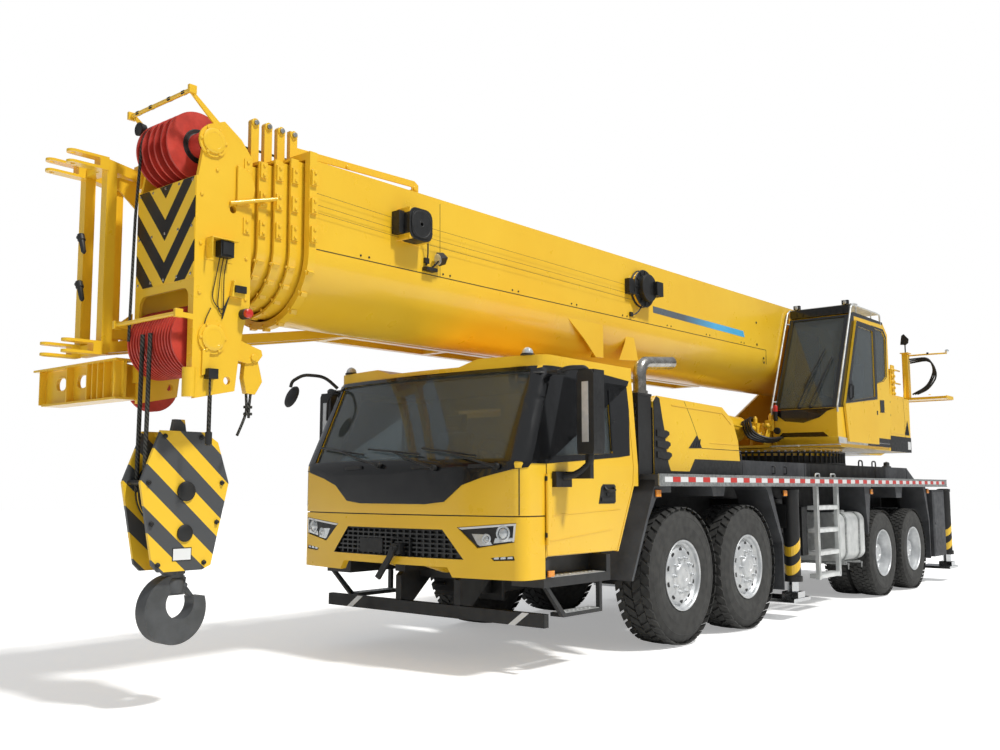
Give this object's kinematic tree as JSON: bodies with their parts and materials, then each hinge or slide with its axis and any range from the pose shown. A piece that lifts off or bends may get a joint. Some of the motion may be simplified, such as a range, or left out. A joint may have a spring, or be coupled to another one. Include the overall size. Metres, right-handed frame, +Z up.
{
  "type": "truck crane",
  "caption": "Four-axle telescopic truck crane with outriggers, two cabs, a stowed lattice jib and a hook block hanging from the boom head.",
  "frame": {"origin": "on the ground, midway between the foremost and rearmost points and between the mirrors", "axes": "+X to the vehicle's left, +Y to its rear, +Z up, so the vehicle drives towards -Y"},
  "size_m": [3.44, 14.7499, 4.3062],
  "materials": {
    "yellow_paint": "gloss",
    "black_paint": "satin",
    "grey_paint": "satin",
    "aluminium": "brushed",
    "silver_rim": "satin",
    "tyre_rubber": "matte",
    "red_nylon": "gloss",
    "glass": "polished",
    "black_plastic": "matte",
    "cast_steel": "cast",
    "rod_chrome": "polished"
  },
  "bodies": {
    "carrier": {"chassis_frame": "black_paint", "deck": "grey_paint", "cab_shell": "yellow_paint", "cab_glass": "glass", "cab_interior": "black_plastic", "front_bumper": "yellow_paint", "steps_and_ladders": "aluminium", "engine_cover": "yellow_paint", "powertrain": "black_paint", "side_tanks": "aluminium", "axle_beams": "black_paint"},
    "cab_door_left": {"cab_door_left": "yellow_paint", "mirror_left": "black_plastic"},
    "cab_door_right": {"cab_door_right": "yellow_paint", "mirror_right": "black_plastic"},
    "knuckle_1_left": {"knuckle_1_left": "black_paint"},
    "knuckle_1_right": {"knuckle_1_right": "black_paint"},
    "knuckle_2_left": {"knuckle_2_left": "black_paint"},
    "knuckle_2_right": {"knuckle_2_right": "black_paint"},
    "wheel_1_left": {"tyre_1_left": "tyre_rubber", "rim_1_left": "silver_rim"},
    "wheel_1_right": {"tyre_1_right": "tyre_rubber", "rim_1_right": "silver_rim"},
    "wheel_2_left": {"tyre_2_left": "tyre_rubber", "rim_2_left": "silver_rim"},
    "wheel_2_right": {"tyre_2_right": "tyre_rubber", "rim_2_right": "silver_rim"},
    "wheel_3_left": {"tyre_3_left": "tyre_rubber", "rim_3_left": "silver_rim"},
    "wheel_3_right": {"tyre_3_right": "tyre_rubber", "rim_3_right": "silver_rim"},
    "wheel_4_left": {"tyre_4_left": "tyre_rubber", "rim_4_left": "silver_rim"},
    "wheel_4_right": {"tyre_4_right": "tyre_rubber", "rim_4_right": "silver_rim"},
    "outrigger_beam_front_left": {"outrigger_beam_front_left": "black_paint"},
    "outrigger_jack_front_left": {"outrigger_jack_front_left": "rod_chrome"},
    "outrigger_beam_front_right": {"outrigger_beam_front_right": "black_paint"},
    "outrigger_jack_front_right": {"outrigger_jack_front_right": "rod_chrome"},
    "outrigger_beam_rear_left": {"outrigger_beam_rear_left": "black_paint"},
    "outrigger_jack_rear_left": {"outrigger_jack_rear_left": "rod_chrome"},
    "outrigger_beam_rear_right": {"outrigger_beam_rear_right": "black_paint"},
    "outrigger_jack_rear_right": {"outrigger_jack_rear_right": "rod_chrome"},
    "turntable": {"turntable": "yellow_paint", "winches": "yellow_paint", "crane_cab": "yellow_paint", "crane_cab_glass": "glass", "crane_seat": "black_plastic"},
    "crane_cab_door": {"crane_cab_door": "yellow_paint"},
    "boom_base": {"boom_base": "yellow_paint", "jib": "yellow_paint"},
    "boom_section_1": {"boom_section_1": "yellow_paint"},
    "boom_section_2": {"boom_section_2": "yellow_paint"},
    "boom_section_3": {"boom_section_3": "yellow_paint"},
    "boom_section_4": {"boom_section_4": "yellow_paint", "head_sheaves": "red_nylon"},
    "luff_barrel": {"luff_barrel": "yellow_paint"},
    "luff_rod": {"luff_rod": "rod_chrome"},
    "hook_block": {"hook_block": "yellow_paint"},
    "hook": {"hook": "cast_steel"}
  },
  "joints": [
    {"name": "cab_door_left_hinge", "type": "hinge", "parent": "carrier", "child": "cab_door_left", "pos_m": [1.38, -4.183, 1.35], "axis": [0, 0, -1], "range_deg": [0, 70]},
    {"name": "cab_door_right_hinge", "type": "hinge", "parent": "carrier", "child": "cab_door_right", "pos_m": [-1.38, -4.183, 1.35], "axis": [0, 0, 1], "range_deg": [0, 70]},
    {"name": "steer_1_left", "type": "hinge", "parent": "carrier", "child": "knuckle_1_left", "pos_m": [0.96, -2.01, 0.675], "axis": [0, 0, 1], "range_deg": [-35, 35]},
    {"name": "steer_1_right", "type": "hinge", "parent": "carrier", "child": "knuckle_1_right", "pos_m": [-0.96, -2.01, 0.675], "axis": [0, 0, 1], "range_deg": [-35, 35]},
    {"name": "steer_2_left", "type": "hinge", "parent": "carrier", "child": "knuckle_2_left", "pos_m": [0.96, -0.59, 0.675], "axis": [0, 0, 1], "range_deg": [-28, 28]},
    {"name": "steer_2_right", "type": "hinge", "parent": "carrier", "child": "knuckle_2_right", "pos_m": [-0.96, -0.59, 0.675], "axis": [0, 0, 1], "range_deg": [-28, 28]},
    {"name": "wheel_1_left_spin", "type": "hinge", "parent": "knuckle_1_left", "child": "wheel_1_left", "pos_m": [1.2, -2.01, 0.675], "axis": [1, 0, 0], "continuous": true},
    {"name": "wheel_1_right_spin", "type": "hinge", "parent": "knuckle_1_right", "child": "wheel_1_right", "pos_m": [-1.2, -2.01, 0.675], "axis": [1, 0, 0], "continuous": true},
    {"name": "wheel_2_left_spin", "type": "hinge", "parent": "knuckle_2_left", "child": "wheel_2_left", "pos_m": [1.2, -0.59, 0.675], "axis": [1, 0, 0], "continuous": true},
    {"name": "wheel_2_right_spin", "type": "hinge", "parent": "knuckle_2_right", "child": "wheel_2_right", "pos_m": [-1.2, -0.59, 0.675], "axis": [1, 0, 0], "continuous": true},
    {"name": "wheel_3_left_spin", "type": "hinge", "parent": "carrier", "child": "wheel_3_left", "pos_m": [1.2, 3.725, 0.608], "axis": [1, 0, 0], "continuous": true},
    {"name": "wheel_3_right_spin", "type": "hinge", "parent": "carrier", "child": "wheel_3_right", "pos_m": [-1.2, 3.725, 0.608], "axis": [1, 0, 0], "continuous": true},
    {"name": "wheel_4_left_spin", "type": "hinge", "parent": "carrier", "child": "wheel_4_left", "pos_m": [1.2, 5.075, 0.608], "axis": [1, 0, 0], "continuous": true},
    {"name": "wheel_4_right_spin", "type": "hinge", "parent": "carrier", "child": "wheel_4_right", "pos_m": [-1.2, 5.075, 0.608], "axis": [1, 0, 0], "continuous": true},
    {"name": "outrigger_front_left_out", "type": "slide", "parent": "carrier", "child": "outrigger_beam_front_left", "axis": [1, 0, 0], "range_m": [0, 2.15]},
    {"name": "outrigger_front_left_down", "type": "slide", "parent": "outrigger_beam_front_left", "child": "outrigger_jack_front_left", "axis": [0, 0, -1], "range_m": [0, 0.62]},
    {"name": "outrigger_front_right_out", "type": "slide", "parent": "carrier", "child": "outrigger_beam_front_right", "axis": [-1, 0, 0], "range_m": [0, 2.15]},
    {"name": "outrigger_front_right_down", "type": "slide", "parent": "outrigger_beam_front_right", "child": "outrigger_jack_front_right", "axis": [0, 0, -1], "range_m": [0, 0.62]},
    {"name": "outrigger_rear_left_out", "type": "slide", "parent": "carrier", "child": "outrigger_beam_rear_left", "axis": [1, 0, 0], "range_m": [0, 2.15]},
    {"name": "outrigger_rear_left_down", "type": "slide", "parent": "outrigger_beam_rear_left", "child": "outrigger_jack_rear_left", "axis": [0, 0, -1], "range_m": [0, 0.62]},
    {"name": "outrigger_rear_right_out", "type": "slide", "parent": "carrier", "child": "outrigger_beam_rear_right", "axis": [-1, 0, 0], "range_m": [0, 2.15]},
    {"name": "outrigger_rear_right_down", "type": "slide", "parent": "outrigger_beam_rear_right", "child": "outrigger_jack_rear_right", "axis": [0, 0, -1], "range_m": [0, 0.62]},
    {"name": "slew", "type": "hinge", "parent": "carrier", "child": "turntable", "pos_m": [0, 3.175, 2], "axis": [0, 0, 1], "continuous": true},
    {"name": "crane_cab_door_slide", "type": "slide", "parent": "turntable", "child": "crane_cab_door", "axis": [0, 1, 0], "range_m": [0, 0.6]},
    {"name": "luff", "type": "hinge", "parent": "turntable", "child": "boom_base", "pos_m": [0, 5.425, 3.3], "axis": [-1, 0, 0], "range_deg": [-0.5, 78]},
    {"name": "telescope_1", "type": "slide", "parent": "boom_base", "child": "boom_section_1", "axis": [0, -0.9999, -0.0105], "range_m": [0, 9.3]},
    {"name": "telescope_2", "type": "slide", "parent": "boom_section_1", "child": "boom_section_2", "axis": [0, -0.9999, -0.0105], "range_m": [0, 9.3]},
    {"name": "telescope_3", "type": "slide", "parent": "boom_section_2", "child": "boom_section_3", "axis": [0, -0.9999, -0.0105], "range_m": [0, 9.3]},
    {"name": "telescope_4", "type": "slide", "parent": "boom_section_3", "child": "boom_section_4", "axis": [0, -0.9999, -0.0105], "range_m": [0, 9.3]},
    {"name": "luff_barrel_tilt", "type": "hinge", "parent": "turntable", "child": "luff_barrel", "pos_m": [0, 2.325, 2.33], "axis": [-1, 0, 0], "range_deg": [-2, 94.1]},
    {"name": "luff_rod_out", "type": "slide", "parent": "luff_barrel", "child": "luff_rod", "axis": [0, -0.9987, 0.0512], "range_m": [-0.03, 3.803]},
    {"name": "hook_block_swing", "type": "hinge", "parent": "boom_section_4", "child": "hook_block", "pos_m": [0, -6.73794, 2.56259], "axis": [1, 0, 0], "range_deg": [-20, 75]},
    {"name": "hook_swivel", "type": "hinge", "parent": "hook_block", "child": "hook", "pos_m": [0, -6.73794, 1], "axis": [0, 0, 1], "continuous": true}
  ],
  "couplings": [
    {"joint": "steer_1_right", "follows": "steer_1_left", "ratio": 1},
    {"joint": "steer_2_left", "follows": "steer_1_left", "ratio": 0.8},
    {"joint": "steer_2_right", "follows": "steer_1_left", "ratio": 0.8},
    {"joint": "luff_barrel_tilt", "follows": "luff", "ratio": 1.1871},
    {"joint": "luff_rod_out", "follows": "luff", "m_per_rad": 2.7788}
  ]
}
